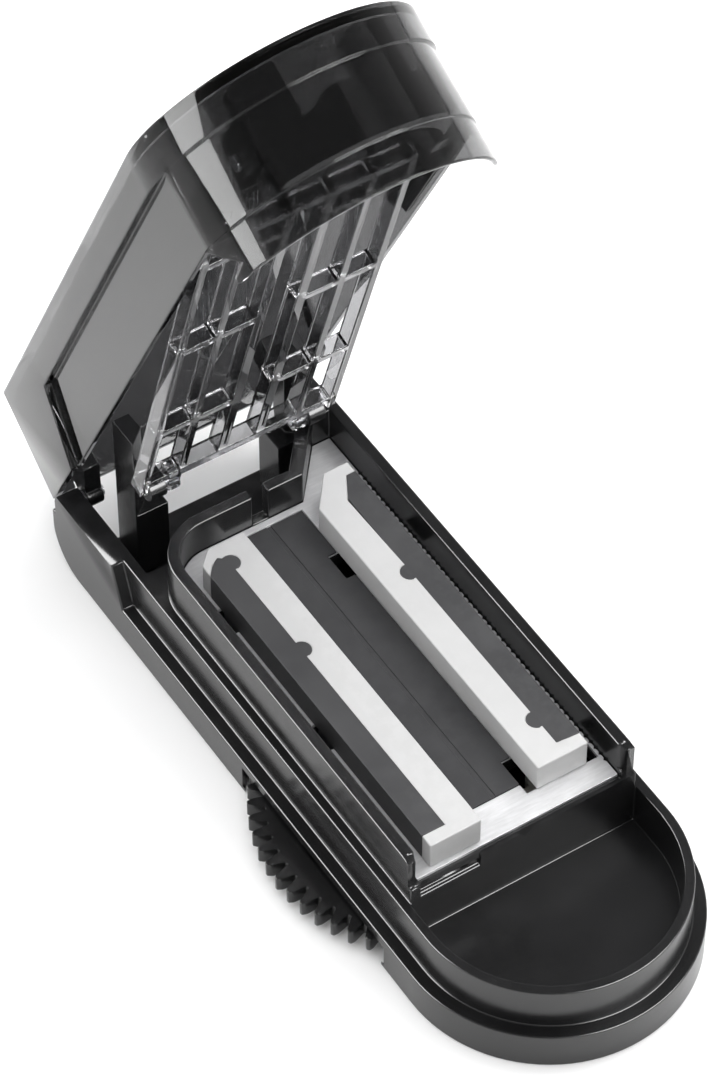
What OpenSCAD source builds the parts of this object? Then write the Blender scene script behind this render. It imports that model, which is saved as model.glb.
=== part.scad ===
// Multi-tablet pill splitter: tray base with two sliding jaws driven by a
// thumb wheel, a hinged clear lid that carries the blade, and a slotted blade
// guard.  Units mm, +Z up, origin on the underside in the middle of the base,
// -Y is the collecting bin end, +Y is the hinge end.  The lid is drawn open.

/* [Base] */
// length of the base
base_l = 118; // [100:1:150]
// width of the base
base_w = 44; // [40:0.5:54]
// height of the outer ledge all round
ledge_z = 6.5; // [5.5:0.1:9]
// height of the deck and of the bin rim
deck_z = 13.9; // [12:0.1:18]
// how far the upper wall is set in from the lower wall
inset = 2.0; // [1.2:0.1:3]
// length of the full width heel at the hinge end
heel_l = 17.2; // [14:0.1:22]
// height of the tray wall above the ground
wall_z = 22; // [20:0.1:26]
// thickness of the tray wall
wall_t = 1.8; // [1.4:0.1:2.4]
// top of the steel floor plate
floor_z = 16; // [15.4:0.1:18]
// thickness of the steel floor plate
plate_t = 0.6; // [0.4:0.1:1]
// distance of the tray front edge from the front tip
tray_s = 28.5; // [26:0.1:34]

/* [Jaws] */
// width of one jaw
jaw_w = 8.3; // [6:0.1:10]
// length of one jaw
jaw_l = 61; // [50:0.5:64]
// height of a jaw above the floor plate
jaw_h = 4.8; // [3.5:0.1:5.4]
// gap between the two jaws as drawn
jaw_gap = 11.3; // [6:0.1:14]
// running gap under the jaws and beside the rack arms
slide_gap = 0.15; // [0.1:0.05:0.4]

/* [Thumb wheel] */
// tip radius of the thumb wheel
wheel_r = 26.6; // [24:0.1:28]
// sideways offset of the wheel axis
wheel_x = -1.3; // [-2:0.1:2]
// number of grip teeth
grip_n = 60; // [40:1:80]
// depth of a grip tooth
grip_d = 2.5; // [1.5:0.1:3]
// thickness of the thumb wheel
wheel_t = 2.6; // [2:0.1:3.2]
// teeth on the pinion
pinion_n = 14; // [10:1:18]
// module of pinion and racks
gear_m = 0.9; // [0.7:0.05:1.2]
// radial clearance in turning fits
fit = 0.05; // [0.02:0.01:0.09]

/* [Lid] */
// opening angle of the lid as drawn
lid_open = 63.5; // [0:0.5:68]
// height of the lid roof edge when shut
roof_z = 31.2; // [30:0.1:36]
// rise of the crowned roof
crown = 3.2; // [1:0.1:4]
// height of the side step when shut
step_z = 25.4; // [22:0.1:28]
// wall thickness of the lid
lid_t = 1.2; // [0.8:0.1:2]
// distance of the hinge axis from the rear end
hinge_s = 2.5; // [2.2:0.1:5]
// height of the hinge axis
hinge_z = 12.4; // [9:0.1:14]
// radius of the hinge pins
pin_r = 1.0; // [0.7:0.05:1.3]

/* [Guard and blade] */
// opening angle of the blade guard as drawn
guard_open = 72.8; // [0:0.2:80]
// distance of the guard pivot from the rear end
gpiv_s = 15.2; // [14.9:0.1:16]
// height of the guard pivot
gpiv_z = 24.2; // [24.1:0.1:25]
// thickness of the guard lattice
guard_t = 2.6; // [1.6:0.1:3]
// half width of the blade slot in the guard
slot_hw = 2.3; // [1.5:0.1:4]
// blade thickness
blade_t = 0.5; // [0.3:0.05:0.8]
// blade length
blade_l = 60; // [50:0.5:62]

/* [Hidden] */
$fn = 72;
R1 = base_w/2;                 // lower wall
R2 = R1 - inset;               // upper wall
e = 0.01;
function st(s) = -base_l/2 + s;    // station from the front tip
function rr(s) = base_l/2 - s;     // station from the rear end
yc = st(R1);                   // centre of the front arc
ytf = st(tray_s);              // tray front edge
ytr = rr(23.2);                // tray rear wall, inner face
ytd = rr(14.8);                  // rear corner beside the right wall, inner face
tray_hw = R2 - 3.3;            // tray half width inside
wall_o = tray_hw + wall_t;
hy = rr(hinge_s);
gy = rr(gpiv_s);
wy = st(47.3);                 // wheel axis
wz = 1.7;                      // underside of the wheel
axle_r = 1.8;
cav_z = 12.9;                  // roof of the gear space
pit_r = gear_m*pinion_n/2;     // pitch radius of the pinion
pin_z0 = wz + wheel_t + 0.2;   // underside of the pinion
pin_t = 2.6;
rack_z0 = pin_z0 + 0.1;
rack_t = 2.4;
jaw_z0 = floor_z + slide_gap;
jaw_x0 = jaw_gap/2;            // inner face of a jaw
jaw_x1 = jaw_x0 + jaw_w;
jyl = st(30.0);                // front end of the left jaw
jyr = st(33.1);                // front end of the right jaw
tie_z0 = rack_z0 + rack_t + 0.25; tie_z1 = tie_z0 + 2.2;
foot_w = 3.2;
foot_x = jaw_x1 - 2.1;         // middle of a foot
foot_y = 4.4;
anvil_hw = 5.7;               // half width of the strip under the blade
foot_d = 28;                   // rear foot behind the rack line
post_x0 = tray_hw - 4.7; post_x1 = tray_hw - 1.9;
post_y0 = rr(12.4); post_y1 = rr(6.7);
post_z = 31;
arm_x0 = post_x1 + 0.6; arm_x1 = arm_x0 + 2.6;  // lid arms
cheek_x = arm_x1 + 0.4;        // inner face of the heel cheeks
post_xm = (post_x0 + post_x1)/2;
skirt_z = deck_z + 0.4;        // lower edge of the lid when shut
lip_z = ledge_z + 1.7;
rl = R1 - 0.4;                 // lid top band
rm = R1 - 0.8;                 // lid middle band
rp = R1 - 1.0;                 // lid lip
ri = R2 + 0.3;                 // inside of the lid front
pan = R1 - 1.6;                // side panel, outer face
pani = pan - 1.0;              // side panel, inner face
gz0 = 23.0;                    // underside of the guard when shut
guard_hw = post_x1 + 1.6;      // half width of the guard
kn_x = post_x0 - 1.4;          // middle of a guard knuckle

// ---------------------------------------------------------------- helpers
// stadium front with a straight body back to y1
module stadium(r, y1, hw) {
  union() {
    translate([0, yc]) circle(r = r, $fn = 144);
    translate([-hw, yc]) square([2*hw, y1 - yc]);
  }
}
module slab(r, y1, z0, z1, hw) {
  translate([0, 0, z0]) linear_extrude(z1 - z0) stadium(r, y1, hw == undef ? r : hw);
}
// extrude a Y-Z drawing along X, centred
module alongx(w, x = 0) {
  translate([x - w/2, 0, 0]) rotate([90, 0, 90]) linear_extrude(w) children();
}
module box3(x0, x1, y0, y1, z0, z1) {
  translate([x0, y0, z0]) cube([x1 - x0, y1 - y0, z1 - z0]);
}
module lid_pose() {
  translate([0, hy, hinge_z]) rotate([-lid_open, 0, 0]) translate([0, -hy, -hinge_z]) children();
}
module guard_pose() {
  translate([0, gy, gpiv_z]) rotate([-guard_open, 0, 0]) translate([0, -gy, -gpiv_z]) children();
}
module xpin(r, x0, x1, y, z) {
  translate([x0, y, z]) rotate([0, 90, 0]) cylinder(r = r, h = x1 - x0, $fn = 48);
}

// ---------------------------------------------------------------- base
// side outline of the base, Y-Z
module base_side() {
  rb = 7; rt = hinge_s - 0.8;
  difference() {
    translate([-base_l/2 - 1, 0]) square([base_l + 1, deck_z + 0.3]);
    // rounded lower rear corner
    difference() {
      translate([base_l/2 - rb, -1]) square([rb + 1, rb + 1]);
      translate([base_l/2 - rb, rb]) circle(r = rb, $fn = 96);
    }
    // rounded upper rear corner round the hinge axis
    difference() {
      translate([hy, hinge_z]) square([hinge_s + 1, rt + 2]);
      translate([hy, hinge_z]) circle(r = rt, $fn = 64);
    }
    translate([hy + rt, hinge_z - 2.5]) square([hinge_s, 8]);
  }
}
module heel_side() {
  polygon([[rr(heel_l + 2.5), ledge_z - 0.5], [rr(heel_l + 2.5), ledge_z],
           [rr(heel_l), deck_z], [base_l/2 + 1, deck_z], [base_l/2 + 1, ledge_z - 0.5]]);
}
// outline of the tray space
module tray_in(g = 0) {
  rc = 6.6 - g;
  union() {
    polygon([[-tray_hw + g, ytf - 12], [tray_hw - g, ytf - 12], [tray_hw - g, ytd - g],
             [tray_hw - 3.1 + g*0.2, ytd - g], [tray_hw - 9.9 - g*0.5, ytr - g],
             [-tray_hw + g + rc, ytr - g], [-tray_hw + g, ytr - g - rc]]);
    translate([-tray_hw + g + rc, ytr - g - rc]) circle(r = rc, $fn = 64);
  }
}
module tray_out() {
  rc = 6.6 + wall_t;
  union() {
    polygon([[-wall_o, ytf - 1.5], [wall_o, ytf - 1.5], [wall_o, ytd + wall_t],
             [tray_hw - 4.3, ytd + wall_t], [tray_hw - 11.1, ytr + wall_t],
             [-tray_hw + 6.6, ytr + wall_t], [-wall_o, ytr - 6.6]]);
    translate([-tray_hw + 6.6, ytr - 6.6]) circle(r = rc, $fn = 72);
  }
}
// places of the four cover screws
scr_y1 = rr(27.5); scr_y0 = st(11);
module each_screw() {
  for (s = [-1, 1]) { translate([s*(R2 - 4), scr_y1, 0]) children(); translate([s*9, scr_y0, 0]) children(); }
}
module cover_plan(g) {
  stadium(R1 - 3 - g, rr(14) - g, R1 - 3 - g);
}
module foot_slot(side, yy, ext = 0) {
  // slot in the tray floor for one foot of a jaw
  xa = foot_x - foot_w/2 - jtr_in - 1.05;
  xb = foot_x + foot_w/2 + jtr_out + 0.25;
  translate([side*(xa + xb)/2, yy - ext/2]) square([xb - xa, foot_y + 0.6 + ext], center = true);
}
jtr_in = jaw_x0 - 0.65;    // travel of a jaw towards the middle
jtr_out = tray_hw - jaw_x1 - 0.35;   // travel of a jaw away from the middle
ry = pit_r;      // racks lie one pitch radius in front of and behind the axis
module base_shell() color([0.06, 0.06, 0.065]) {
  difference() {
    union() {
      intersection() {
        alongx(base_w + 2) base_side();
        union() {
          slab(R1, base_l/2, 0, ledge_z);
          slab(R2, base_l/2, ledge_z - e, deck_z);
          intersection() { alongx(base_w) heel_side(); slab(R1, base_l/2, 0, deck_z); }
        }
      }
      // tray walls
      translate([0, 0, cav_z - 2]) linear_extrude(wall_z - cav_z + 2) tray_out();
      // front lip of the tray
      box3(-7.2, tray_hw + 0.5, ytf - 0.6, ytf + 0.9, floor_z - 1, floor_z + 0.7);
      // hinge bosses beside the pins
      for (s = [-1, 1]) intersection() {
        box3(s > 0 ? cheek_x - 0.1 : -R1, s > 0 ? R1 : -cheek_x + 0.1, rr(7), base_l/2, 6, deck_z);
        alongx(base_w + 2) base_side();
      }
    }
    // tray space
    translate([0, 0, floor_z - plate_t]) linear_extrude(20) difference() {
      tray_in();
      translate([-30, ytf - 40]) square([60, 39.6]);
    }
    translate([0, 0, floor_z + 0.7]) linear_extrude(20) tray_in();
    // bin
    difference() {
      slab(R2 - 1.5, ytf, 6.4, deck_z + 20, R2 - 1.5);
      box3(-R1, R1, ytf - 0.8, ytf + 5, 0, floor_z + 0.7);
    }
    // walls end short of the lip
    alongx(base_w) difference() {
      translate([ytf - 5, wall_z - 3]) square([6.5, 6]);
      translate([ytf + 1.5, wall_z - 3]) circle(r = 3, $fn = 64);
    }
    // thin step left of the lip
    box3(-tray_hw - 0.1, -7.2, ytf - 2, ytf - 0.2, floor_z - 1.6, floor_z + 3);
    // blade notch in the lip
    translate([0, ytf, floor_z + 0.75]) rotate([0, 45, 0]) cube([1.6, 4, 1.6], center = true);
    // gap in the tray rear wall for the blade
    box3(-1.7, 0.9, ytr - 0.5, ytr + wall_t + 0.5, floor_z, wall_z + 2);
    // gear space, open below
    difference() {
      slab(R2 - 1.8, rr(25), -1, cav_z, R2 - 1.8);
      box3(-R1, R1, -base_l, ytf + 0.8, -2, 30);
      // boss round the top of the axle
      translate([wheel_x, wy, 0]) cylinder(r = 4, h = 30);
      // walls round the cover screws
      for (s = [-1, 1]) translate([s*(R2 - 4), scr_y1, 1.5]) cylinder(r = 2.7, h = 20);
    }
    // wheel space and side slots
    translate([wheel_x, wy, -1]) cylinder(r = wheel_r + 0.6, h = 5.7, $fn = 144);
    translate([wheel_x, wy, 0]) intersection() {
      translate([-base_w, -18.3, 0.9]) cube([2*base_w, 36.6, 4.2]);
      cylinder(r = wheel_r + 8, h = 20);
    }
    // clear the wheel hub column above the wheel
    translate([wheel_x, wy, 0]) cylinder(r = 4.5, h = pin_z0 + pin_t + 0.2);
    translate([wheel_x, wy, 0]) cylinder(r = axle_r, h = 12.1);
    // recess for the cover
    translate([0, 0, -1]) linear_extrude(2.5) cover_plan(0);
    // screw holes
    each_screw() cylinder(r = 0.9, h = 5.4, $fn = 32);
    // floor slots for the jaw feet
    for (y = [wy + ry + 3.2, wy + ry + foot_d]) translate([0, 0, cav_z - 1]) linear_extrude(10) foot_slot(-1, y);
    for (i = [0, 1]) translate([0, 0, cav_z - 1]) linear_extrude(10) foot_slot(1, fyr[i], i == 0 ? 1.5 : 0);
    // rear channel between the cheeks, open at the back
    difference() {
      box3(-cheek_x, cheek_x, rr(21.2), base_l/2 + 2, 2.4, 60);
      translate([0, 0, 0]) linear_extrude(60) tray_out();
    }
    box3(-cheek_x, cheek_x, rr(4.2), base_l/2 + 2, -1, 5);
    // sockets of the guard posts
    for (s = [-1, 1]) box3(s*post_xm - 1.4, s*post_xm + 1.4, rr(12.4), rr(6.7), 1.2, 3);
    // hinge pin holes
    for (s = [-1, 1]) xpin(pin_r, s > 0 ? cheek_x - 1 : -R1 + 0.9, s > 0 ? R1 - 0.9 : -cheek_x + 1, hy, hinge_z);
  }
}
module bottom_cover() color([0.09, 0.09, 0.095]) {
  difference() {
    translate([0, 0, 0]) linear_extrude(1.3) cover_plan(0.12);
    each_screw() translate([0, 0, -1]) cylinder(r = 1.15, h = 4, $fn = 32);
    each_screw() translate([0, 0, -1]) cylinder(r = 2.1, h = 1.7, $fn = 48);
    translate([wheel_x, wy, -1]) cylinder(r = axle_r, h = 4);
  }
}
module cover_screws() color([0.6, 0.6, 0.62]) {
  each_screw() difference() {
    union() {
      translate([0, 0, 0.05]) cylinder(r = 2.0, h = 0.65, $fn = 48);
      translate([0, 0, 0.05]) cylinder(r = 0.9, h = 5.2, $fn = 32);
    }
    for (a = [0, 90]) rotate([0, 0, a]) translate([-1.1, -0.25, -1]) cube([2.2, 0.5, 1.35]);
  }
}
module wheel_axle() color([0.7, 0.7, 0.72]) translate([wheel_x, wy, 0.05]) cylinder(r = axle_r, h = 12);
module floor_plate() color([0.72, 0.73, 0.74]) {
  // steel plate with a finely toothed edge along the right wall and the rear
  difference() {
    translate([0, 0, floor_z - plate_t]) linear_extrude(plate_t) difference() {
      tray_in(0.12);
      translate([-30, ytf - 40]) square([60, 40.95]);
      for (i = [0:1:52]) translate([tray_hw - 0.1, ytf + 4 + i*1.2]) rotate(45) square(0.45, center = true);
      for (y = [wy + ry + 3.2, wy + ry + foot_d]) foot_slot(-1, y);
      for (i = [0, 1]) foot_slot(1, fyr[i], i == 0 ? 1.5 : 0);
    }
    // recess under the tablets for the anvil strip
    box3(-anvil_hw - 0.15, anvil_hw + 0.15, ytf + 6.6, ytr - 1.2, floor_z - 0.3, floor_z + 1);
  }
}
module anvil_strip() color([0.2, 0.2, 0.21])
  difference() {
    box3(-anvil_hw, anvil_hw, ytf + 6.8, ytr - 1.4, floor_z - 0.3, floor_z + 0.05);
    box3(-0.35, 0.35, ytf + 5, ytr, floor_z - 0.1, floor_z + 1);
    translate([0, 0, floor_z - 1]) linear_extrude(3) union() {
      for (y = fyl) foot_slot(-1, y);
      for (i = [0, 1]) foot_slot(1, fyr[i], i == 0 ? 1.5 : 0);
    }
  }
module guard_posts() color([0.05, 0.05, 0.055]) {
  for (s = [-1, 1]) difference() {
    union() {
      // tall post with a chamfered inner front corner
      translate([0, 0, 1.25]) linear_extrude(post_z - 1.25)
        polygon([[s*post_x1, post_y1], [s*post_x0, post_y1], [s*post_x0, post_y0 + 2.4],
                 [s*post_x1, post_y0]]);
      // forward foot that holds the guard pivot
      alongx(post_x1 - post_x0, s*(post_x0 + post_x1)/2) union() {
        translate([gy, gpiv_z]) circle(r = 1.9, $fn = 48);
        translate([gy, gpiv_z - 1.9]) square([post_y0 + 1 - gy, 3.8]);
      }
      // wider lower part on the inner side
      box3(s > 0 ? post_x0 - 2.6 : -post_x1, s > 0 ? post_x1 : -post_x0 + 2.6, post_y0, post_y1, 2.45, deck_z + 1.6);
    }
    xpin(0.8, s*post_xm - 2, s*post_xm + 2, gy, gpiv_z);
  }
}
module guard_pins() color([0.7, 0.7, 0.72])
  for (s = [-1, 1]) xpin(0.8, s > 0 ? post_x0 - 2.4 : -post_x1 - 0.2, s > 0 ? post_x1 + 0.2 : -post_x0 + 2.4, gy, gpiv_z);
module hinge_pins() color([0.7, 0.7, 0.72])
  for (s = [-1, 1]) xpin(pin_r, s > 0 ? arm_x0 - 0.5 : -R1 + 1, s > 0 ? R1 - 1 : -arm_x0 + 0.5, hy, hinge_z);

// ---------------------------------------------------------------- wheel and racks
module grip_ring() {
  circle(r = wheel_r - grip_d, $fn = 180);
  for (i = [0:grip_n - 1]) rotate(i*360/grip_n)
    polygon([[wheel_r - grip_d - 0.3, -1.0], [wheel_r - 0.5, -0.55], [wheel_r, -0.25],
             [wheel_r, 0.25], [wheel_r - 0.5, 0.55], [wheel_r - grip_d - 0.3, 1.0]]);
}
module thumb_wheel() color([0.07, 0.07, 0.075])
  translate([wheel_x, wy, wz]) difference() {
    linear_extrude(wheel_t) grip_ring();
    // dished upper face
    translate([0, 0, wheel_t - 0.6]) difference() {
      cylinder(r = wheel_r - 6, h = 2); cylinder(r = pit_r + 2.2, h = 5, center = true);
    }
    cylinder(r = axle_r + fit, h = 20, center = true);
    // key that turns the pinion
    translate([0, 0, wheel_t - 0.8]) linear_extrude(2) square(5.6, center = true);
  }
module pinion() color([0.75, 0.75, 0.72])
  translate([wheel_x, wy, 0]) difference() {
    union() {
      translate([0, 0, pin_z0]) linear_extrude(pin_t) {
        circle(r = pit_r - 1.15*gear_m);
        for (i = [0:pinion_n - 1]) rotate(i*360/pinion_n)
          polygon([[pit_r - 1.25*gear_m, -0.86*gear_m], [pit_r, -0.60*gear_m],
                   [pit_r + 0.75*gear_m, -0.26*gear_m], [pit_r + 0.75*gear_m, 0.26*gear_m],
                   [pit_r, 0.60*gear_m], [pit_r - 1.25*gear_m, 0.86*gear_m]]);
      }
      translate([0, 0, wz + wheel_t - 0.8]) linear_extrude(1.1) square(5.6, center = true);
    }
    cylinder(r = axle_r + fit, h = 20, $fn = 72);
  }
// rack toothed towards the pinion, dir = -1 in front of the axle, +1 behind it
// phase keeps a tooth space facing the pinion tooth
module rack_bar(dir, x0, x1) {
  pt = PI*gear_m;
  yb = dir*(pit_r + 1.15*gear_m);
  q = dir > 0 ? pinion_n/4 : 3*pinion_n/4;
  ph = 0.5 - (q - floor(q));
  xl = x0 - wheel_x; xh = x1 - wheel_x;
  n0 = ceil(xl/pt + 0.6); n1 = floor(xh/pt - 0.6);
  translate([wheel_x, wy, rack_z0]) linear_extrude(rack_t) {
    polygon([[xl, yb], [xh, yb], [xh, yb + dir*2.4], [xl, yb + dir*2.4]]);
    for (i = [n0:n1]) translate([(i - dir*ph)*pt, 0])
      polygon([[-0.82*gear_m, yb + dir*0.05], [-0.56*gear_m, dir*pit_r],
               [-0.28*gear_m, dir*(pit_r - 0.75*gear_m)], [0.28*gear_m, dir*(pit_r - 0.75*gear_m)],
               [0.56*gear_m, dir*pit_r], [0.82*gear_m, yb + dir*0.05]]);
  }
}
module jaw_plan(side, j0, g = 0) {
  // outline of the whole jaw, front end at j0, right hand drawing mirrored by side
  if (side < 0) polygon([[-jaw_x0 - g, j0 + g], [-jaw_x0 - g, j0 + jaw_l - g],
      [-jaw_x1 + 2.4, j0 + jaw_l - g], [-jaw_x1 + g, j0 + jaw_l - 2.4], [-jaw_x1 + g, j0 + g]]);
  else polygon([[jaw_x0 + g, j0 + g], [jaw_x0 + g, j0 + jaw_l - 5.4], [jaw_x0 + 4.2, j0 + jaw_l - g],
      [jaw_x1 - g, j0 + jaw_l - g], [jaw_x1 - g, j0 + g]]);
}
// holder bar of a jaw with its half round keys
module holder_plan(side, j0, ks) {
  xi = jaw_x1 - 3.7;
  if (side < 0) polygon([[-jaw_x1 + 0, j0 + 2.1], [-xi, j0 + 2.1], [-xi, j0 + jaw_l - 3.2],
       [-xi - 1.2, j0 + jaw_l - 2.1], [-jaw_x1 + 1.2, j0 + jaw_l - 3.2], [-jaw_x1, j0 + jaw_l - 4.6]]);
  else polygon([[jaw_x1, j0 + 2.1], [xi, j0 + 2.1], [xi, j0 + jaw_l - 6.0],
       [xi + 2.2, j0 + jaw_l - 2.1], [jaw_x1, j0 + jaw_l - 2.1]]);
  for (k = ks) translate([side*xi, j0 + k]) circle(r = 1.45, $fn = 40);
}
module jaw_holder(side, j0, ks, rdir, fy) {
  xi = jaw_x1 - 3.7;
  translate([0, 0, jaw_z0]) linear_extrude(jaw_h) holder_plan(side, j0, ks);
  // feet through the floor
  for (y = fy) translate([side*foot_x, y, tie_z1])
    linear_extrude(jaw_z0 - tie_z1 + 0.5) square([foot_w, foot_y], center = true);
}
module jaw_pad(side, j0, ks) {
  translate([0, 0, jaw_z0 + 0.02]) linear_extrude(jaw_h - 0.02) difference() {
    jaw_plan(side, j0);
    holder_plan(side, j0, ks);
    // outer side of the holder stays clear
    translate([side*(jaw_x1 + 4.99), j0 + jaw_l/2]) square([10, jaw_l - 30], center = true);
  }
}
lkeys = [38.2, 57.0];
rkeys = [7.2, 38.8];
fyl = [wy + ry + 3.2, wy + ry + foot_d];
fyr = [wy - ry - 3.6, wy + ry + foot_d];
module left_jaw_holder() color([0.17, 0.17, 0.18]) jaw_holder(-1, jyl, lkeys, 1, fyl);
module right_jaw_holder() color([0.17, 0.17, 0.18]) jaw_holder(1, jyr, rkeys, -1, fyr);
module left_jaw_pad() color([0.93, 0.93, 0.93]) jaw_pad(-1, jyl, lkeys);
module right_jaw_pad() color([0.93, 0.93, 0.93]) jaw_pad(1, jyr, rkeys);
module rack_arm(side, dir, fy) {
  xo = side*foot_x;
  x0 = side < 0 ? xo - foot_w/2 : -9.5;
  x1 = side < 0 ? 9.5 : xo + foot_w/2;
  ybar = wy + dir*(pit_r + 1.15*gear_m);
  rack_bar(dir, x0, x1);
  // tie plate under the two feet, above the level of the other rack
  box3(xo - foot_w/2, xo + foot_w/2, min(fy) - foot_y/2, max(fy) + foot_y/2, tie_z0, tie_z1);
  // block that joins rack and tie plate
  box3(xo - foot_w/2, xo + foot_w/2, dir > 0 ? ybar : ybar - 2.4, dir > 0 ? ybar + 2.4 : ybar, rack_z0, tie_z1 - 0.1);
}
module left_rack() color([0.78, 0.78, 0.74]) rack_arm(-1, 1, fyl);
module right_rack() color([0.78, 0.78, 0.74]) rack_arm(1, -1, fyr);

// ---------------------------------------------------------------- lid
// half profile of the crowned roof, radius r, edge height z, rise c
module roof_half(r, z, c, z0) {
  rc = (r*r + c*c)/(2*c);
  intersection() {
    translate([0, z + c - rc]) circle(r = rc, $fn = 480);
    union() {
      translate([0, z0]) square([r, z + c - z0 + 1]);
    }
    union() {
      translate([0, z0]) square([r, z - 0.2 - z0]);
      translate([0, z0]) square([r - 0.9, z + c + 1 - z0]);
      translate([r - 0.9, z - 0.3]) circle(r = 0.9, $fn = 48);
    }
  }
}
module dome(r, hw, z, c, z0, y1) {
  translate([0, yc, 0]) rotate_extrude($fn = 144) roof_half(r, z, c, z0);
  translate([0, y1, 0]) rotate([90, 0, 0]) linear_extrude(y1 - yc) union() {
    roof_half(hw, z, c, z0); mirror([1, 0]) roof_half(hw, z, c, z0);
  }
}
// side outline of the shut lid, Y-Z, g = wall to take off at the rear
module lid_side(g, z0) {
  polygon([[-base_l, z0], [-base_l, roof_z + crown + 2], [rr(4.4) - g, roof_z + crown + 2],
           [rr(4.4) - g, roof_z], [rr(0.8) - g, skirt_z], [rr(0.8) - g, z0]]);
}
module lid_shell_shut() {
  difference() {
    union() {
      intersection() {
        dome(rl, rl, roof_z, crown, step_z, base_l/2);
        alongx(2*rl) lid_side(0, skirt_z);
      }
      // middle band and skirt
      intersection() {
        slab(rm, base_l/2, skirt_z, step_z + 1, rm);
        alongx(2*rl) lid_side(0, skirt_z);
      }
      // full width rear band
      intersection() {
        translate([0, 0, skirt_z]) linear_extrude(step_z + 1 - skirt_z) translate([-rl, 0]) square([2*rl, base_l/2]);
        alongx(2*rl) polygon([[rr(22.3), step_z + 1], [rr(22.3), step_z], [rr(14.6), skirt_z], [base_l/2, skirt_z], [base_l/2, step_z + 1]]);
        alongx(2*rl) lid_side(0, skirt_z);
      }
      // lip round the front
      intersection() {
        slab(rp, yc + 4, lip_z, skirt_z + 1, rp);
        alongx(2*rl) polygon([[-base_l, 0], [yc - 7.5, 0], [yc - 7.5, lip_z + 1], [yc - 9.5 + 0, lip_z + 2], [yc - 5, skirt_z], [yc - 5, 40], [-base_l, 40]]);
      }
    }
    // recessed side panels
    for (s = [-1, 1]) translate([s*(pan + 5), 0, 0]) alongx(10)
      polygon([[yc - 14, skirt_z], [yc - 14, step_z], [rr(22.3), step_z], [rr(14.6), skirt_z]]);
    // inside
    intersection() {
      dome(ri, pani, roof_z - lid_t - 0.2, crown, lip_z - 1, base_l/2);
      alongx(2*rl) lid_side(lid_t, lip_z - 1);
      union() {
        box3(-R1, R1, -base_l, base_l, 0, skirt_z - 0.4);
        box3(-R1, R1, -base_l, base_l, step_z - 0.1, 60);
        box3(-pani, pani, -base_l, base_l, 0, 60);
      }
    }
    intersection() {
      translate([0, 0, step_z - 0.2]) linear_extrude(roof_z - lid_t - step_z - 0.6) stadium(ri, base_l/2, ri);
      alongx(2*rl) lid_side(lid_t, lip_z - 1);
    }
    intersection() {
      translate([0, 0, skirt_z - 1]) linear_extrude(roof_z - lid_t - skirt_z) translate([-ri, rr(13.4)]) square([2*ri, base_l]);
      alongx(2*rl) lid_side(lid_t, lip_z - 1);
    }
    // room for the lid arms
    for (s = [-1, 1]) box3(s*(arm_x0 + arm_x1)/2 - 1.35, s*(arm_x0 + arm_x1)/2 + 1.35, rr(8), base_l/2 + 2, skirt_z - 1, skirt_z + 1.0);
  }
  // cross ribs under the roof, clear of the blade holder
  for (s = [-1, 1], y = [rr(20), rr(44)])
    box3(s > 0 ? 2.4 : -ri - 0.2, s > 0 ? ri + 0.2 : -2.4, y, y + 1.0, 29.2, roof_z + 0.4);
}
module lid_shell() color([0.35, 0.36, 0.38, 0.45]) lid_pose() lid_shell_shut();
// inner face of the sloping rear wall of the shut lid at height z
function rear_in(z) = rr(0.8) - lid_t - 3.6*(z - skirt_z)/(roof_z - skirt_z);
module lid_arm(s) {
  x = s*(arm_x0 + arm_x1)/2; w = arm_x1 - arm_x0;
  lid_pose() difference() {
    alongx(w, x) union() {
      translate([hy, hinge_z]) circle(r = 1.75, $fn = 48);
      polygon([[hy - 1.75, hinge_z], [hy + 0.4, hinge_z + 1.6], [rear_in(skirt_z + 0.2), skirt_z + 0.2],
               [rear_in(21), 21], [rr(9.5), 21], [rr(8.5), skirt_z + 0.4]]);
    }
    xpin(pin_r + fit, x - w, x + w, hy, hinge_z);
  }
}
module lid_arm_left() color([0.07, 0.07, 0.075]) lid_arm(-1);
module lid_arm_right() color([0.07, 0.07, 0.075]) lid_arm(1);

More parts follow.
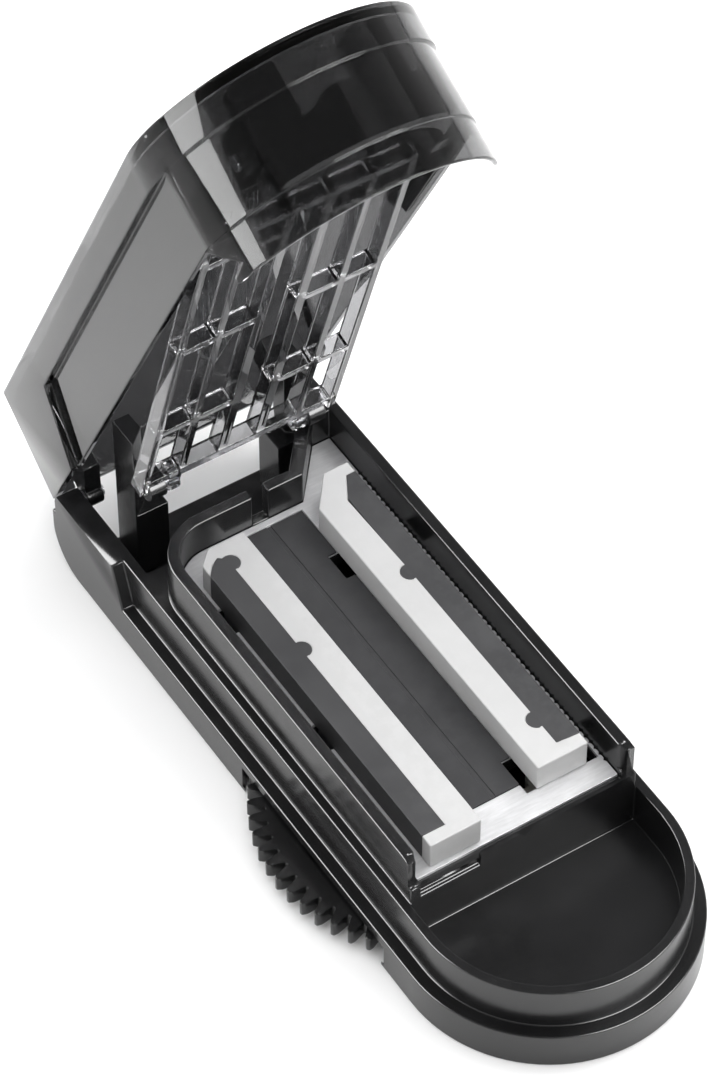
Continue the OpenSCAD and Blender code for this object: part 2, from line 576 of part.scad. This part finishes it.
// insert in the lid front: block, two bars up to the roof and two side plates
module lid_insert() color([0.04, 0.04, 0.045]) lid_pose() {
  difference() {
    union() {
      intersection() {
        box3(-9, 16, -base_l, yc + 1.0, 15.2, 21.6);
        slab(ri - 0.15, base_l/2, 10, 40, ri);
      }
      // two bars up the front wall
      for (s = [-1, 1]) intersection() {
        box3(s > 0 ? 5.6 : -11, s > 0 ? 11 : -5.6, -base_l, yc - 12, 15.2, roof_z - 1.6);
        slab(ri - 0.15, base_l/2, 10, 40, ri);
      }
      // raised middle pad
      intersection() {
        box3(-1.5, 5.7, -base_l, yc - 12, 21, 23.4);
        slab(ri - 0.15, base_l/2, 10, 40, ri);
      }
    }
    // hollow of the block, open below and behind
    translate([0, 0, 14]) linear_extrude(6.4) union() {
      translate([0, yc]) circle(r = ri - 3.6, $fn = 96);
      translate([-14.4, yc]) square([28.8, 5]);
    }
  }
  // side plates with three lugs
  for (s = [-1, 1]) alongx(0.7, s*(pani - 0.37)) union() {
    polygon([[yc - 3.5, skirt_z + 0.5], [st(46), skirt_z + 0.5], [st(50), 23.6], [st(44), 23.6], [yc - 2.0, 23.6]]);
    for (i = [0:2]) polygon([[st(24 + i*9.4), 23.4], [st(24.4 + i*9.4), 25.6], [st(28.4 + i*9.4), 25.6], [st(29.6 + i*9.4), 23.4]]);
  }
  // low rear web that carries the left side plate
  box3(-15.6, -8.9, yc - 3.0, yc + 0.8, 20.0, 21.6);
  // webs from the block to the side plates
  for (s = [-1, 1]) intersection() {
    box3(s > 0 ? 15.5 : -pani + 0.1, s > 0 ? pani - 0.1 : -15.5, yc - 3.0, yc + 0.8, 15.2, 21.6);
    slab(ri - 0.15, base_l/2, 10, 40, pani - 0.05);
  }
}
blade_y0 = st(32);
blade_top = roof_z - 1.0;
screw_ys = [blade_y0 + 6, blade_y0 + blade_l - 6];
module blade_holder() color([0.05, 0.05, 0.055]) lid_pose() difference() {
  box3(-2.2, 2.2, blade_y0 - 1.5, blade_y0 + blade_l + 1.0, 26.7, roof_z - lid_t + crown*0.85);
  box3(-blade_t/2 - 0.02, blade_t/2 + 0.02, blade_y0 - 0.1, blade_y0 + blade_l + 0.1, 20, blade_top + 0.1);
  for (y = screw_ys) xpin(0.7, -5, 5, y, 28.6);
}
module blade() color([0.8, 0.81, 0.82]) lid_pose() difference() {
  alongx(blade_t) polygon([[blade_y0, 17.6], [blade_y0, blade_top], [blade_y0 + blade_l, blade_top],
    [blade_y0 + blade_l, 17.6], [blade_y0 + blade_l - 1.3, 16.35], [blade_y0 + 1.3, 16.35]]);
  // bevelled cutting edge
  for (s = [-1, 1]) translate([s*blade_t/2, 0, 17.3]) rotate([0, s*13, 0])
    box3(s > 0 ? 0 : -1, s > 0 ? 1 : 0, -base_l, base_l, -1.5, 0);
  for (y = screw_ys) xpin(0.7, -5, 5, y, 28.6);
}
module blade_screws() color([0.6, 0.6, 0.62]) lid_pose() for (y = screw_ys) {
  xpin(0.7, -2.4, 2.2, y, 28.6);
  xpin(1.2, -2.9, -2.2, y, 28.6);
}

// ---------------------------------------------------------------- guard
module bar_y(x0, x1, y0, y1) { box3(x0, x1, y0, y1, gz0, gz0 + guard_t); }
module blade_guard() color([0.75, 0.77, 0.8, 0.35]) guard_pose() {
  ya = gy - 1.2;            // rear end of the rails
  L = 72.0;
  difference() {
    union() {
      for (s = [-1, 1]) {
        for (v = [[guard_hw - 1.3, guard_hw], [9.1, 10.4], [slot_hw, slot_hw + 1.7]])
          bar_y(s > 0 ? v[0] : -v[1], s > 0 ? v[1] : -v[0], ya - L, v[0] > 12 ? ya : ya - 1.6);
        for (d = [18.5, 42.5, 66.0]) bar_y(s > 0 ? slot_hw : -guard_hw, s > 0 ? guard_hw : -slot_hw, ya - d - 0.7, ya - d + 0.7);
        for (d = [2.4, L - 0.8]) bar_y(s > 0 ? slot_hw : -guard_hw, s > 0 ? guard_hw : -slot_hw, ya - d - 0.8, ya - d + 0.8);
      }
      // bridge joining the two halves behind the blade, and one in front
      bar_y(-slot_hw - 0.1, slot_hw + 0.1, ya - L, ya - L + 1.6);
      // rear cross block
      bar_y(-9.6, 9.6, ya - 3.1, ya - 1.4);
      // knuckles
      for (s = [-1, 1]) alongx(1.8, s*kn_x) union() {
        translate([gy, gpiv_z]) circle(r = 1.7, $fn = 48);
        translate([ya - 3, gz0]) square([gy - ya + 3, guard_t]);
      }
    }
    // slot for the blade
    box3(-slot_hw, slot_hw, ya - L + 1.6, ya - 3.1, gz0 - 5, gz0 + 9);
    for (s = [-1, 1]) xpin(0.8 + fit, s*kn_x - 1.5, s*kn_x + 1.5, gy, gpiv_z);
  }
}

base_shell();
bottom_cover();
floor_plate();
anvil_strip();
guard_posts();
wheel_axle();
cover_screws();
hinge_pins();
guard_pins();
thumb_wheel();
pinion();
left_jaw_holder();
left_jaw_pad();
left_rack();
right_jaw_holder();
right_jaw_pad();
right_rack();
lid_shell();
lid_arm_left();
lid_arm_right();
lid_insert();
blade_holder();
blade();
blade_screws();
blade_guard();
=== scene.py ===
"""Pill splitter for rows of tablets, with its clear lid open."""

from math import cos, radians, sin

import bmesh
import bpy
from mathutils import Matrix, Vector
from mathutils.bvhtree import BVHTree


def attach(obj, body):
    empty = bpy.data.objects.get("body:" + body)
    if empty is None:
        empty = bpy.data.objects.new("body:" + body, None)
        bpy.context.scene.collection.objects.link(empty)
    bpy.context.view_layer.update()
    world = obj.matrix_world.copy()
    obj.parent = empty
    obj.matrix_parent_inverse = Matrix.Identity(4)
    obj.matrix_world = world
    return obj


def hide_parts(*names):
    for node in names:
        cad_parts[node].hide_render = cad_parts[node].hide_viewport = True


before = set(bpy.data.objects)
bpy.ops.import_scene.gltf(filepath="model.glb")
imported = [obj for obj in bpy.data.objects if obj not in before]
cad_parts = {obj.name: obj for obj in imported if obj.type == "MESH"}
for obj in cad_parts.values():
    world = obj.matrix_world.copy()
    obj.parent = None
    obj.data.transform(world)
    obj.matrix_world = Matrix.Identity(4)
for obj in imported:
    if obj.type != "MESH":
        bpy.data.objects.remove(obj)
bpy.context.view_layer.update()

MM = 0.001
LID_OPEN = radians(63.5)          # opening of the lid as drawn
SHADE_START, SHADE_END = -7.8 * MM, -6.2 * MM   # where the painted shade on the lid's rear band sets in
MERGE = 2e-6                      # corners closer than this are one corner
FLAT_ANGLE = radians(0.4)         # faces flatter than this to each other are joined
SHARP_ANGLE = radians(40)         # edges sharper than this stay sharp in the shading
LENS, SENSOR = 151.7, 36
EYE = (-0.2199, -0.3313, 0.5125)
LOOK_AT = (0.01737, 0.03648, 0)
scene = bpy.context.scene
scene.view_settings.view_transform = "Standard"
scene.view_settings.look = "None"


# ------------------------------------------------------------------ camera
def aim(obj, place, target):
    obj.location = Vector(place)
    obj.rotation_euler = (Vector(target) - Vector(place)).to_track_quat("-Z", "Y").to_euler()


lens = bpy.data.cameras.new("camera")
lens.lens = LENS
lens.sensor_width = SENSOR
lens.clip_end = 20
camera = bpy.data.objects.new("camera", lens)
scene.collection.objects.link(camera)
aim(camera, EYE, LOOK_AT)
scene.camera = camera


# ------------------------------------------------------------------ shader groups
def new_group(name, ins, outs):
    """A shader group: ins are (name, socket type, default), outs are (name, socket type)."""
    g = bpy.data.node_groups.new(name, "ShaderNodeTree")
    for n, kind, default in ins:
        s = g.interface.new_socket(n, in_out="INPUT", socket_type=kind)
        s.default_value = default
    for n, kind in outs:
        g.interface.new_socket(n, in_out="OUTPUT", socket_type=kind)
    return g, g.nodes.new("NodeGroupInput"), g.nodes.new("NodeGroupOutput")


def noise(nt, vector, scale, detail=3.0, rough=0.55, scale_input=None):
    n = nt.nodes.new("ShaderNodeTexNoise")
    n.inputs["Scale"].default_value = scale
    n.inputs["Detail"].default_value = detail
    n.inputs["Roughness"].default_value = rough
    nt.links.new(vector, n.inputs["Vector"])
    if scale_input is not None:
        nt.links.new(scale_input, n.inputs["Scale"])
    return n.outputs["Fac"]


def maths(nt, op, a, b=None, clamp=False):
    n = nt.nodes.new("ShaderNodeMath")
    n.operation = op
    n.use_clamp = clamp
    for socket, value in zip(n.inputs, (a, b)):
        if value is None:
            continue
        if hasattr(value, "is_linked"):
            nt.links.new(value, socket)
        else:
            socket.default_value = value
    return n.outputs[0]


def span(nt, value, lo, hi, to_lo, to_hi):
    n = nt.nodes.new("ShaderNodeMapRange")
    for name, v in (("From Min", lo), ("From Max", hi), ("To Min", to_lo), ("To Max", to_hi)):
        if hasattr(v, "is_linked"):
            nt.links.new(v, n.inputs[name])
        else:
            n.inputs[name].default_value = v
    nt.links.new(value, n.inputs["Value"])
    return n.outputs[0]


def blend_colour(nt, factor, a, b):
    n = nt.nodes.new("ShaderNodeMix")
    n.data_type = "RGBA"
    for socket, v in ((n.inputs["Factor"], factor), (n.inputs["A"], a), (n.inputs["B"], b)):
        if hasattr(v, "is_linked"):
            nt.links.new(v, socket)
        else:
            socket.default_value = v
    return n.outputs["Result"]


def moulded_group():
    """Moulded plastic: fine spark texture, slow sheen drift, faint rub along the edges."""
    g, gi, go = new_group(
        "moulded_surface",
        [("Colour", "NodeSocketColor", (0.02, 0.02, 0.02, 1)),
         ("Rub Colour", "NodeSocketColor", (0.1, 0.1, 0.1, 1)),
         ("Rub", "NodeSocketFloat", 0.3), ("Grain Scale", "NodeSocketFloat", 6000.0),
         ("Rough Low", "NodeSocketFloat", 0.3), ("Rough High", "NodeSocketFloat", 0.4)],
        [("Colour", "NodeSocketColor"), ("Roughness", "NodeSocketFloat"), ("Height", "NodeSocketFloat")])
    coords = g.nodes.new("ShaderNodeTexCoord").outputs["Object"]
    grain = noise(g, coords, 6000, 2.0, 0.6, gi.outputs["Grain Scale"])
    drift = noise(g, coords, 60, 3.0)
    smear = noise(g, coords, 420, 4.0, 0.65)
    geometry = g.nodes.new("ShaderNodeNewGeometry")
    edge = span(g, geometry.outputs["Pointiness"], 0.515, 0.60, 0.0, 1.0)
    patchy = maths(g, "MULTIPLY", edge, span(g, smear, 0.42, 0.6, 0.0, 1.0))
    worn = maths(g, "MULTIPLY", patchy, gi.outputs["Rub"], True)
    clouded = span(g, drift, 0.35, 0.65, 0.0, 0.25)
    tone = blend_colour(g, clouded, gi.outputs["Colour"], gi.outputs["Rub Colour"])
    g.links.new(blend_colour(g, worn, tone, gi.outputs["Rub Colour"]), go.inputs["Colour"])
    mixed = maths(g, "ADD", maths(g, "MULTIPLY", drift, 0.6), maths(g, "MULTIPLY", smear, 0.4))
    sheen = span(g, mixed, 0.35, 0.65, gi.outputs["Rough Low"], gi.outputs["Rough High"])
    g.links.new(sheen, go.inputs["Roughness"])
    g.links.new(grain, go.inputs["Height"])
    return g


MOULDED = moulded_group()


def new_material(name):
    m = bpy.data.materials.new(name)
    m.use_nodes = True
    nt = m.node_tree
    return m, nt, nt.nodes["Principled BSDF"]


def moulded(name, colour, rub_colour, rub=0.3, grain=6000, depth=0.02, bump=0.2,
            rough=(0.3, 0.4), subsurface=0.0, specular=0.5):
    """Moulded plastic or rubber in one colour."""
    m, nt, p = new_material(name)
    g = nt.nodes.new("ShaderNodeGroup")
    g.node_tree = MOULDED
    g.inputs["Colour"].default_value = (*colour, 1)
    g.inputs["Rub Colour"].default_value = (*rub_colour, 1)
    g.inputs["Rub"].default_value = rub
    g.inputs["Grain Scale"].default_value = grain
    g.inputs["Rough Low"].default_value, g.inputs["Rough High"].default_value = rough
    b = nt.nodes.new("ShaderNodeBump")
    b.inputs["Strength"].default_value = bump
    b.inputs["Distance"].default_value = depth * MM
    nt.links.new(g.outputs["Height"], b.inputs["Height"])
    nt.links.new(g.outputs["Colour"], p.inputs["Base Color"])
    nt.links.new(g.outputs["Roughness"], p.inputs["Roughness"])
    nt.links.new(b.outputs["Normal"], p.inputs["Normal"])
    p.inputs["Specular IOR Level"].default_value = specular
    if subsurface:
        p.inputs["Subsurface Weight"].default_value = subsurface
        p.inputs["Subsurface Scale"].default_value = 0.0015
        p.inputs["Subsurface Radius"].default_value = (1.0, 1.0, 1.0)
    return m


def brushed(name, colour, turn, rough=(0.28, 0.42), bump=0.25, stretch=(60, 4000, 4000), metallic=1.0):
    """Brushed or ground steel, the scratches running along the Mapping's first axis."""
    m, nt, p = new_material(name)
    coords = nt.nodes.new("ShaderNodeTexCoord").outputs["Object"]
    mapping = nt.nodes.new("ShaderNodeMapping")
    mapping.inputs["Rotation"].default_value = turn
    mapping.inputs["Scale"].default_value = stretch
    nt.links.new(coords, mapping.inputs["Vector"])
    streaks = noise(nt, mapping.outputs["Vector"], 1.0, 4.0, 0.6)
    cloud = noise(nt, coords, 260, 4.0, 0.6)
    both = maths(nt, "ADD", maths(nt, "MULTIPLY", streaks, 0.6), maths(nt, "MULTIPLY", cloud, 0.4))
    nt.links.new(span(nt, both, 0.35, 0.65, rough[0], rough[1]), p.inputs["Roughness"])
    dark = (*[c * 0.8 for c in colour], 1)
    tone = blend_colour(nt, span(nt, both, 0.35, 0.65, 0.0, 1.0), dark, (*colour, 1))
    nt.links.new(tone, p.inputs["Base Color"])
    b = nt.nodes.new("ShaderNodeBump")
    b.inputs["Strength"].default_value = bump
    b.inputs["Distance"].default_value = 0.01 * MM
    nt.links.new(streaks, b.inputs["Height"])
    nt.links.new(b.outputs["Normal"], p.inputs["Normal"])
    p.inputs["Metallic"].default_value = metallic
    return m


def clear_plastic(name, colour, shadow, rough=(0.02, 0.06), ior=1.49, painted_band_shade=None):
    """Transparent plastic that lets lamp light through, with a faint flow pattern and, where asked, a
    painted shade on the lid's rear band.
    """
    m, nt, p = new_material(name)
    coords = nt.nodes.new("ShaderNodeTexCoord").outputs["Object"]
    flow = noise(nt, coords, 90, 3.0)
    scuff = noise(nt, coords, 1500, 4.0, 0.6)
    duller = (*[c * 0.92 for c in colour], 1)
    tint = blend_colour(nt, span(nt, flow, 0.3, 0.7, 0.0, 1.0), duller, (*colour, 1))
    if painted_band_shade is not None:
        # painted shade: the rear band of the opened lid is coloured darker to stand in for the shade on
        # it; its wall is not thicker
        parts = nt.nodes.new("ShaderNodeSeparateXYZ")
        nt.links.new(coords, parts.inputs[0])
        along = maths(nt, "SUBTRACT", maths(nt, "MULTIPLY", parts.outputs["Y"], cos(LID_OPEN)),
                      maths(nt, "MULTIPLY", parts.outputs["Z"], sin(LID_OPEN)))
        tint = blend_colour(nt, span(nt, along, SHADE_START, SHADE_END, 0.0, 1.0), tint, (*painted_band_shade, 1))
    nt.links.new(tint, p.inputs["Base Color"])
    nt.links.new(span(nt, scuff, 0.45, 0.75, rough[0], rough[1]), p.inputs["Roughness"])
    b = nt.nodes.new("ShaderNodeBump")
    b.inputs["Strength"].default_value = 0.08
    b.inputs["Distance"].default_value = 0.05 * MM
    nt.links.new(flow, b.inputs["Height"])
    nt.links.new(b.outputs["Normal"], p.inputs["Normal"])
    p.inputs["Transmission Weight"].default_value = 1.0
    p.inputs["IOR"].default_value = ior
    path = nt.nodes.new("ShaderNodeLightPath")
    clear = nt.nodes.new("ShaderNodeBsdfTransparent")
    clear.inputs["Color"].default_value = (*shadow, 1)
    mix = nt.nodes.new("ShaderNodeMixShader")
    nt.links.new(path.outputs["Is Shadow Ray"], mix.inputs["Fac"])
    nt.links.new(p.outputs["BSDF"], mix.inputs[1])
    nt.links.new(clear.outputs["BSDF"], mix.inputs[2])
    nt.links.new(mix.outputs["Shader"], nt.nodes["Material Output"].inputs["Surface"])
    return m


BLACK = moulded("satin_black", (0.006, 0.006, 0.0063), (0.022, 0.022, 0.023), rub=0.5, grain=9000,
                depth=0.006, bump=0.12, rough=(0.19, 0.27))
BLACK_MATT = moulded("matt_black", (0.010, 0.010, 0.0105), (0.03, 0.03, 0.031), rub=0.4, grain=5000,
                     depth=0.02, bump=0.3, rough=(0.34, 0.5))
HOLDER = moulded("dark_grey_moulded", (0.036, 0.036, 0.038), (0.07, 0.07, 0.072), rub=0.3,
                 grain=4500, depth=0.02, bump=0.3, rough=(0.5, 0.62), specular=0.3)
SILICONE = moulded("white_silicone", (0.47, 0.47, 0.47), (0.55, 0.55, 0.55), rub=0.3, grain=2500,
                   depth=0.02, bump=0.25, rough=(0.5, 0.62), subsurface=0.15, specular=0.35)
ANVIL = moulded("anvil_rubber", (0.03, 0.03, 0.032), (0.06, 0.06, 0.062), rub=0.2, grain=3000,
                depth=0.02, bump=0.3, rough=(0.55, 0.7), specular=0.3)
NYLON = moulded("natural_nylon", (0.62, 0.61, 0.56), (0.7, 0.69, 0.64), rub=0.2, grain=3000,
                depth=0.02, bump=0.2, rough=(0.4, 0.5), subsurface=0.1)
PLATE = brushed("brushed_plate", (0.66, 0.66, 0.67), (0, 0, radians(20)), rough=(0.42, 0.56),
                stretch=(300, 2600, 2600), metallic=0.25)
PIN = brushed("turned_steel", (0.66, 0.67, 0.69), (0, 0, 0), rough=(0.22, 0.34))
BLADE = brushed("ground_blade", (0.82, 0.83, 0.84), (0, 0, radians(90)), rough=(0.16, 0.3),
                stretch=(2500, 2500, 60))
# the smoke lid carries a painted shade on its rear band (the dark colour in the last argument)
SMOKE = clear_plastic("smoke_clear", (0.125, 0.125, 0.127), (0.6, 0.6, 0.61), ior=1.3,
                      painted_band_shade=(0.03, 0.03, 0.031))
CLEAR = clear_plastic("clear_guard", (0.42, 0.42, 0.43), (0.8, 0.8, 0.81))


# ------------------------------------------------------------------ pieces from the frame
def finish_mesh(bm, name, material, body, node):
    """Make the finished piece of a mesh; faces that look straight along X are shaded flat."""
    bm.normal_update()
    for f in bm.faces:
        f.smooth = abs(f.normal.x) < 0.9999
    me = bpy.data.meshes.new(name)
    bm.to_mesh(me)
    bm.free()
    me.materials.append(material)
    me.set_sharp_from_angle(angle=SHARP_ANGLE)
    ob = bpy.data.objects.new(name, me)
    scene.collection.objects.link(ob)
    w = ob.modifiers.new("face_weight", "WEIGHTED_NORMAL")
    w.keep_sharp = True
    w.weight = 60
    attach(ob, body)
    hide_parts(node)


def merged(node):
    """The mesh of a frame node without doubles, its flat triangles joined into single faces."""
    bm = bmesh.new()
    bm.from_mesh(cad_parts[node].data)
    bmesh.ops.remove_doubles(bm, verts=bm.verts, dist=MERGE)
    if node != "lid_shell":       # joined faces of the lid would close its opening
        bmesh.ops.dissolve_limit(bm, angle_limit=FLAT_ANGLE, verts=bm.verts, edges=bm.edges,
                                 use_dissolve_boundaries=False)
    return bm


def roomy_edges(bm, width, angle):
    """Sharp edges with enough room on the faces beside them for a rounding of this width."""
    sharp = {e for e in bm.edges if len(e.link_faces) == 2 and e.calc_face_angle(0) > radians(angle)}
    tight = set()
    for v in bm.verts:
        near = [e for e in v.link_edges if e in sharp]
        if near and any(e not in sharp and e.calc_length() < 1.1 * width for e in v.link_edges):
            tight.update(near)
        elif len(near) > 2 and any(e.calc_length() < 2.1 * width for e in near):
            tight.update(near)
    return [e for e in bm.edges if e in sharp and e not in tight]


def softened(node, name, material, body, width, segments, angle=28):
    """A copy of a frame node with its doubles merged and its sharp edges rounded by width mm."""
    box = [Vector(c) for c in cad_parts[node].bound_box]
    lo, hi = ([pick(c[i] for c in box) for i in range(3)] for pick in (min, max))
    bm = merged(node)
    shape = BVHTree.FromBMesh(bm)
    if width:
        bmesh.ops.bevel(bm, geom=roomy_edges(bm, width * MM, angle), offset=width * MM,
                        offset_type="OFFSET", segments=segments, profile=0.5, affect="EDGES",
                        clamp_overlap=False, material=-1)
    # corners that strayed go back to the surface and inside the box
    for v in bm.verts:
        near, _, _, far = shape.find_nearest(v.co)
        if far > 0.6 * width * MM:
            v.co = near
        v.co = [min(max(c, lo[i]), hi[i]) for i, c in enumerate(v.co)]
    bmesh.ops.dissolve_degenerate(bm, dist=1e-6, edges=bm.edges)
    finish_mesh(bm, name, material, body, node)


PIECES = [
    # node, piece, material, body, slot, rounding mm, segments
    ("base_shell", "base_body", BLACK, "base", "black_body", 0.28, 3),
    ("bottom_cover", "base_cover", BLACK_MATT, "base", "black_part", 0.2, 3),
    ("floor_plate", "tray_plate", PLATE, "base", "steel_plate", 0.05, 1),
    ("anvil_strip", "anvil", ANVIL, "base", "anvil", 0.05, 1),
    ("guard_posts", "posts", BLACK, "base", "black_part", 0.2, 3),
    ("wheel_axle", "axle", PIN, "base", "steel_pin", 0.1, 3),
    ("cover_screws", "screws_cover", PIN, "base", "steel_pin", 0.08, 1),
    ("hinge_pins", "pins_hinge", PIN, "base", "steel_pin", 0.12, 3),
    ("guard_pins", "pins_guard", PIN, "base", "steel_pin", 0.12, 3),
    ("thumb_wheel", "wheel", BLACK, "wheel", "black_part", 0.14, 3),
    ("pinion", "wheel_pinion", NYLON, "wheel", "gear_nylon", 0.08, 1),
    ("left_jaw_holder", "jaw_bar_left", HOLDER, "left_jaw", "dark_holder", 0.1, 3),
    ("left_jaw_pad", "jaw_pad_left", SILICONE, "left_jaw", "white_pad", 0.22, 3),
    ("left_rack", "jaw_rack_left", NYLON, "left_jaw", "gear_nylon", 0.1, 1),
    ("right_jaw_holder", "jaw_bar_right", HOLDER, "right_jaw", "dark_holder", 0.1, 3),
    ("right_jaw_pad", "jaw_pad_right", SILICONE, "right_jaw", "white_pad", 0.22, 3),
    ("right_rack", "jaw_rack_right", NYLON, "right_jaw", "gear_nylon", 0.1, 1),
    ("lid_shell", "lid_cover", SMOKE, "lid", "smoke_clear", 0.22, 3),
    ("lid_arm_left", "hinge_arm_left", BLACK, "lid", "black_part", 0.2, 3),
    ("lid_arm_right", "hinge_arm_right", BLACK, "lid", "black_part", 0.2, 3),
    ("lid_insert", "lid_block", BLACK, "lid", "black_part", 0.15, 3),
    ("blade_holder", "blade_bar", BLACK, "lid", "black_part", 0.15, 3),
    ("blade", "cutting_blade", BLADE, "lid", "blade_steel", 0.0, 1),
    ("blade_screws", "screws_blade", PIN, "lid", "steel_pin", 0.1, 3),
    ("blade_guard", "guard_frame", CLEAR, "guard", "clear", 0.2, 3),
]
for node, name, material, body, slot, width, segments in PIECES:
    softened(node, name, material, body, width, segments)


# ------------------------------------------------------------------ studio
def area_light(name, place, target, size, power):
    """A white rectangular lamp, placed and aimed in metres."""
    data = bpy.data.lights.new(name, "AREA")
    data.shape = "RECTANGLE"
    data.size, data.size_y = size
    data.energy = power
    ob = bpy.data.objects.new(name, data)
    scene.collection.objects.link(ob)
    aim(ob, place, target)
    return ob


floor_mesh = bmesh.new()
bmesh.ops.create_grid(floor_mesh, x_segments=1, y_segments=1, size=3.0)
me = bpy.data.meshes.new("floor")
floor_mesh.to_mesh(me)
floor_mesh.free()
floor = bpy.data.objects.new("floor", me)
scene.collection.objects.link(floor)
paper, nt, p = new_material("pale_floor")
p.inputs["Base Color"].default_value = (0.97, 0.97, 0.97, 1)
p.inputs["Roughness"].default_value = 0.9
p.inputs["Specular IOR Level"].default_value = 0.1
me.materials.append(paper)

world = bpy.data.worlds.new("studio")
scene.world = world
world.use_nodes = True
nt = world.node_tree
height = nt.nodes.new("ShaderNodeSeparateXYZ")
nt.links.new(nt.nodes.new("ShaderNodeTexCoord").outputs["Generated"], height.inputs[0])
nt.links.new(span(nt, height.outputs["Z"], 0.1, 0.7, 1.0, 0.2), nt.nodes["Background"].inputs["Strength"])
nt.nodes["Background"].inputs["Color"].default_value = (1, 1, 1, 1)

# the key and the overhead fill light surfaces but do not mirror in them
area_light("key_right", (0.80, 0.20, 0.95), (0, 0, 0.02), (1.0, 1.0), 13).visible_glossy = False
area_light("fill_overhead", (-0.1, 0.1, 1.6), (0, 0, 0), (2.4, 2.4), 42).visible_glossy = False
# the two boxes only show as reflections, along edges and on the lid
for box in (area_light("box_back_left", (-0.84, 0.60, 0.42), (0, 0, 0.03), (1.1, 0.7), 42),
            area_light("box_front_right", (0.36, -0.78, 0.56), (0, 0, 0.03), (1.0, 0.6), 33)):
    box.visible_diffuse = False
